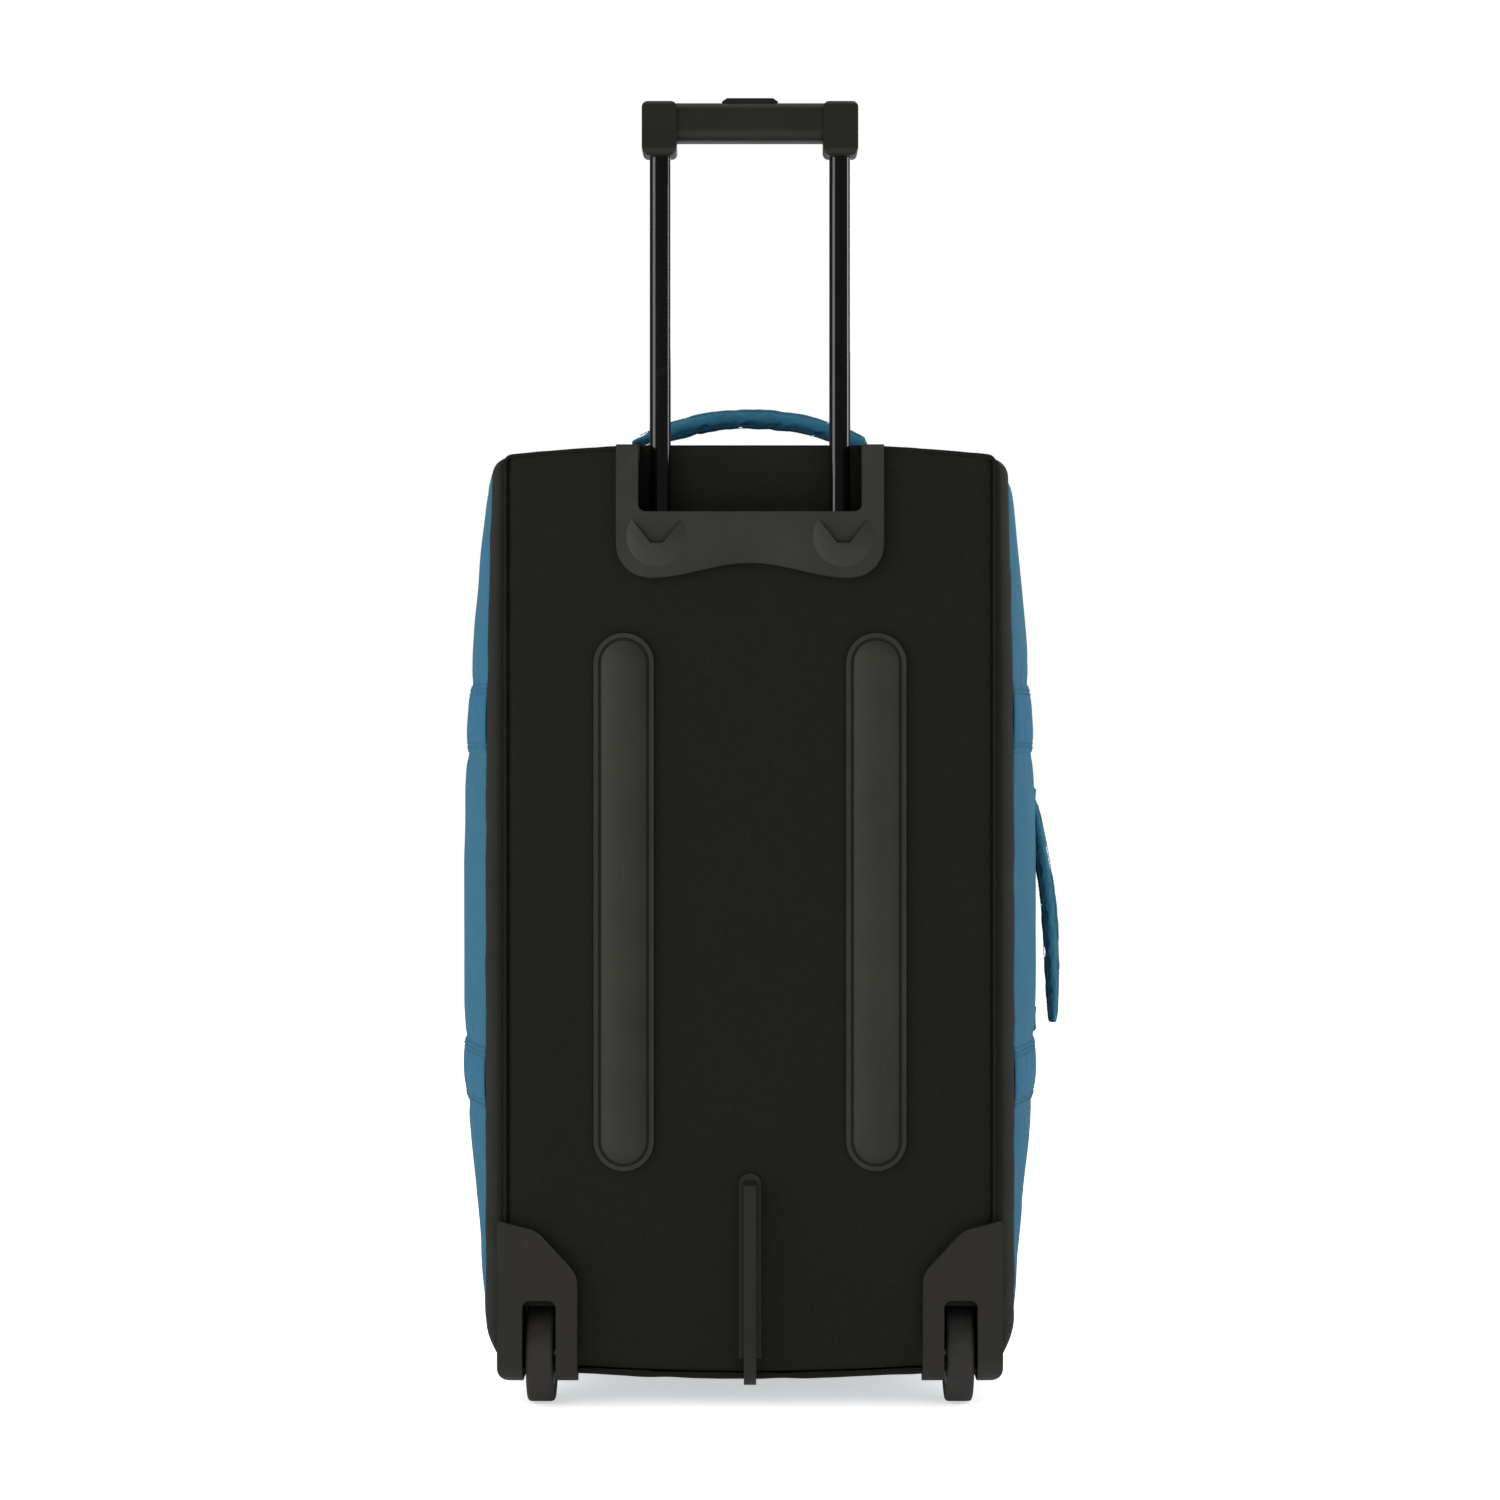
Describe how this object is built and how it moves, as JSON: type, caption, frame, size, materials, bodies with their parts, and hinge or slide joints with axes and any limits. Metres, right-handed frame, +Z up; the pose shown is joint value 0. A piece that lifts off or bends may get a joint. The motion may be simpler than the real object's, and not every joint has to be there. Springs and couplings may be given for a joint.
{
  "type": "rolling duffel bag",
  "caption": "Tall soft-sided wheeled travel bag with telescopic pull handle, skid rails, padded carry handles and a zipped front lid.",
  "frame": {"origin": "middle of the underside of the stand foot, on the floor and on the bag's mid-plane", "axes": "+Z up, +Y towards the bag's front, -Y towards its back with the rails and bezel, +X towards the side with the side handle"},
  "size_m": [0.504, 0.3297, 1.0528],
  "materials": {
    "woven_back": "black woven polyester",
    "gusset_fabric": "black polyester",
    "piping": "black piping cord",
    "blue_fabric": "petrol blue polyester",
    "blue_band": "petrol blue polyester, double stitched",
    "blue_handle": "padded petrol blue polyester",
    "lining_fabric": "thin grey lining",
    "board": "plain polyethylene board",
    "bezel_plastic": "fine moulded texture",
    "cup_plastic": "smooth moulded",
    "tube_black": "gloss black lacquer",
    "tube_inside": "mill finish",
    "bush_plastic": "smooth acetal",
    "grip_plastic": "satin moulded",
    "button_plastic": "satin moulded",
    "steel": "zinc plated",
    "housing_plastic": "fine moulded texture",
    "tyre_rubber": "smooth tread",
    "hub_plastic": "moulded nylon",
    "rail_plastic": "fine moulded texture",
    "skid_plastic": "smooth moulded",
    "foot_rubber": "moulded",
    "zip_tape": "woven tape with coil",
    "zip_metal": "black lacquered slider",
    "pull_rubber": "soft moulded tab"
  },
  "bodies": {
    "bag": {"back_panel": "woven_back", "rear_gusset": "gusset_fabric", "rear_piping": "piping", "main_shell": "blue_fabric", "upper_band": "blue_band", "lower_band": "blue_band", "lining": "lining_fabric", "back_board": "board", "base_board": "board", "handle_bezel": "bezel_plastic", "pocket_cup": "cup_plastic", "outer_tube_left": "tube_inside", "outer_tube_right": "tube_inside", "guide_bushes": "bush_plastic", "tube_base": "bush_plastic", "wheel_housing_left": "housing_plastic", "wheel_housing_right": "housing_plastic", "axle_left": "steel", "axle_right": "steel", "skid_rail_left": "rail_plastic", "skid_rail_right": "rail_plastic", "centre_skid": "skid_plastic", "frame_screws": "steel", "stand_foot": "foot_rubber", "top_handle_anchors": "blue_band", "side_handle_anchors": "blue_band", "zip_track_shell": "zip_tape"},
    "handle": {"inner_tube_left": "tube_black", "inner_tube_right": "tube_black", "grip_rear_shell": "grip_plastic", "grip_front_shell": "grip_plastic", "grip_screws": "steel", "button_spring": "steel", "lock_blocks": "bush_plastic"},
    "button": {"release_button": "button_plastic", "push_link": "bush_plastic", "push_rods": "steel"},
    "pin_left": {"lock_pin_left": "steel"},
    "pin_right": {"lock_pin_right": "steel"},
    "wheel_left": {"tyre_left": "tyre_rubber", "hub_left": "hub_plastic", "bearings_left": "steel"},
    "wheel_right": {"tyre_right": "tyre_rubber", "hub_right": "hub_plastic", "bearings_right": "steel"},
    "top_carry": {"top_handle": "blue_handle"},
    "side_carry": {"side_handle": "blue_handle"},
    "lid": {"front_lid": "blue_fabric", "front_pocket": "blue_fabric", "lid_bands": "blue_band", "zip_track_lid": "zip_tape", "pocket_zip": "zip_tape"},
    "slider_left": {"main_slider_left": "zip_metal"},
    "slider_right": {"main_slider_right": "zip_metal"},
    "pull_left": {"zip_pull_left": "pull_rubber"},
    "pull_right": {"zip_pull_right": "pull_rubber"},
    "pocket_slider": {"pocket_slider": "zip_metal"},
    "pocket_pull": {"pocket_pull": "pull_rubber"}
  },
  "joints": [
    {"name": "handle_slide", "type": "slide", "parent": "bag", "child": "handle", "axis": [0, 0, 1], "range_m": [-0.285, 0]},
    {"name": "button_press", "type": "slide", "parent": "handle", "child": "button", "axis": [0, 0, -1], "range_m": [0, 0.0025], "stiffness_N_per_m": 400, "deforming": ["button_spring"]},
    {"name": "pin_left_slide", "type": "slide", "parent": "handle", "child": "pin_left", "axis": [1, 0, 0], "range_m": [0, 0.0025]},
    {"name": "pin_right_slide", "type": "slide", "parent": "handle", "child": "pin_right", "axis": [-1, 0, 0], "range_m": [0, 0.0025]},
    {"name": "wheel_left_spin", "type": "hinge", "parent": "bag", "child": "wheel_left", "pos_m": [-0.1685, -0.194, 0.04], "axis": [1, 0, 0], "continuous": true},
    {"name": "wheel_right_spin", "type": "hinge", "parent": "bag", "child": "wheel_right", "pos_m": [0.1685, -0.194, 0.04], "axis": [1, 0, 0], "continuous": true},
    {"name": "lid_open", "type": "hinge", "parent": "bag", "child": "lid", "pos_m": [0, 0.058, 0.084], "axis": [-1, 0, 0], "range_deg": [0, 90]},
    {"name": "slider_left_slide", "type": "slide", "parent": "lid", "child": "slider_left", "axis": [-1, 0, 0], "range_m": [0, 0.105]},
    {"name": "slider_right_slide", "type": "slide", "parent": "lid", "child": "slider_right", "axis": [1, 0, 0], "range_m": [0, 0.105]},
    {"name": "pull_left_swing", "type": "hinge", "parent": "slider_left", "child": "pull_left", "pos_m": [-0.009, 0.068, 0.735], "axis": [1, 0, 0], "range_deg": [0, 150]},
    {"name": "pull_right_swing", "type": "hinge", "parent": "slider_right", "child": "pull_right", "pos_m": [0.009, 0.068, 0.735], "axis": [1, 0, 0], "range_deg": [0, 150]},
    {"name": "pocket_slider_slide", "type": "slide", "parent": "lid", "child": "pocket_slider", "axis": [1, 0, 0], "range_m": [0, 0.226]},
    {"name": "pocket_pull_swing", "type": "hinge", "parent": "pocket_slider", "child": "pocket_pull", "pos_m": [-0.113, 0.075, 0.476], "axis": [1, 0, 0], "range_deg": [0, 150]},
    {"name": "top_handle_swing", "type": "hinge", "parent": "bag", "child": "top_carry", "pos_m": [0, -0.08, 0.787], "axis": [1, 0, 0], "range_deg": [-45, 45]},
    {"name": "side_handle_swing", "type": "hinge", "parent": "bag", "child": "side_carry", "pos_m": [0.2495, -0.08, 0.393], "axis": [0, 0, 1], "range_deg": [-40, 40]}
  ],
  "couplings": [
    {"joint": "pin_left_slide", "follows": "button_press", "ratio": 1},
    {"joint": "pin_right_slide", "follows": "button_press", "ratio": 1}
  ]
}
